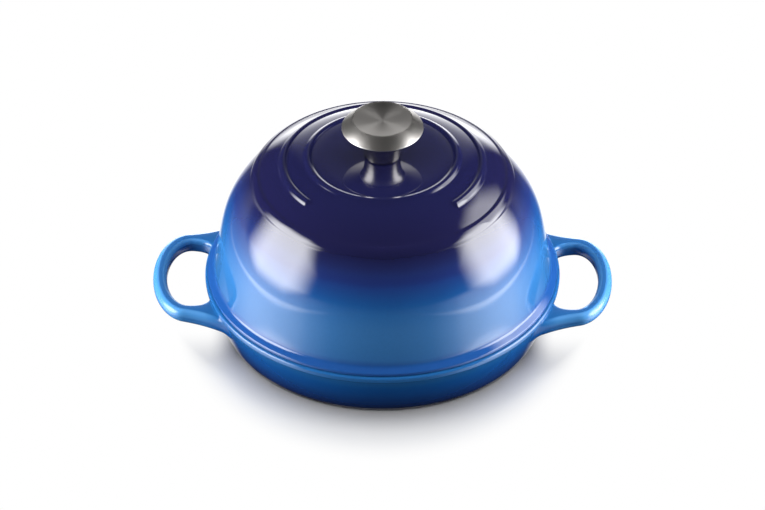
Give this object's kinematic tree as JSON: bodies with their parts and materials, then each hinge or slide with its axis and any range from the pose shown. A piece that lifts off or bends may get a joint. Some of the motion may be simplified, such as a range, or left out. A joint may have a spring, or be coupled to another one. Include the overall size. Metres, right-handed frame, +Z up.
{
  "type": "bread pot",
  "caption": "Round enamelled cast-iron bread pot: shallow base with loop handles and a tall domed lid that lifts off by a steel knob to bake a loaf under cover.",
  "frame": {"origin": "centre of the round foot, on the surface that the pot stands on", "axes": "+Z up through the knob, +X through the right-hand handle, and the front, where the lid's middle bead is broken, faces -Y"},
  "size_m": [0.329, 0.254, 0.1728],
  "materials": {
    "base_enamel": "gloss vitreous enamel, mid blue at the lip and handles fading to navy at the foot",
    "lid_enamel": "gloss vitreous enamel, azure at the skirt fading to indigo on the crown",
    "polished_steel": "polished stainless steel",
    "spun_steel": "stainless steel with a fine circular brush",
    "turned_steel": "plain turned stainless steel"
  },
  "bodies": {
    "base": {"base": "base_enamel"},
    "knob": {"knob_neck": "polished_steel", "knob_cap": "polished_steel", "knob_top_disc": "spun_steel", "knob_insert": "turned_steel", "knob_screw": "turned_steel", "knob_flat_washer": "turned_steel", "knob_lock_washer": "turned_steel"},
    "lid": {"lid": "lid_enamel"}
  },
  "joints": [
    {"name": "lid_lift", "type": "slide", "parent": "base", "child": "knob", "axis": [0, 0, 1], "range_m": [0, 0.18]},
    {"name": "lid_turn", "type": "hinge", "parent": "knob", "child": "lid", "pos_m": [0, 0, 0.14105], "axis": [0, 0, 1], "continuous": true}
  ]
}
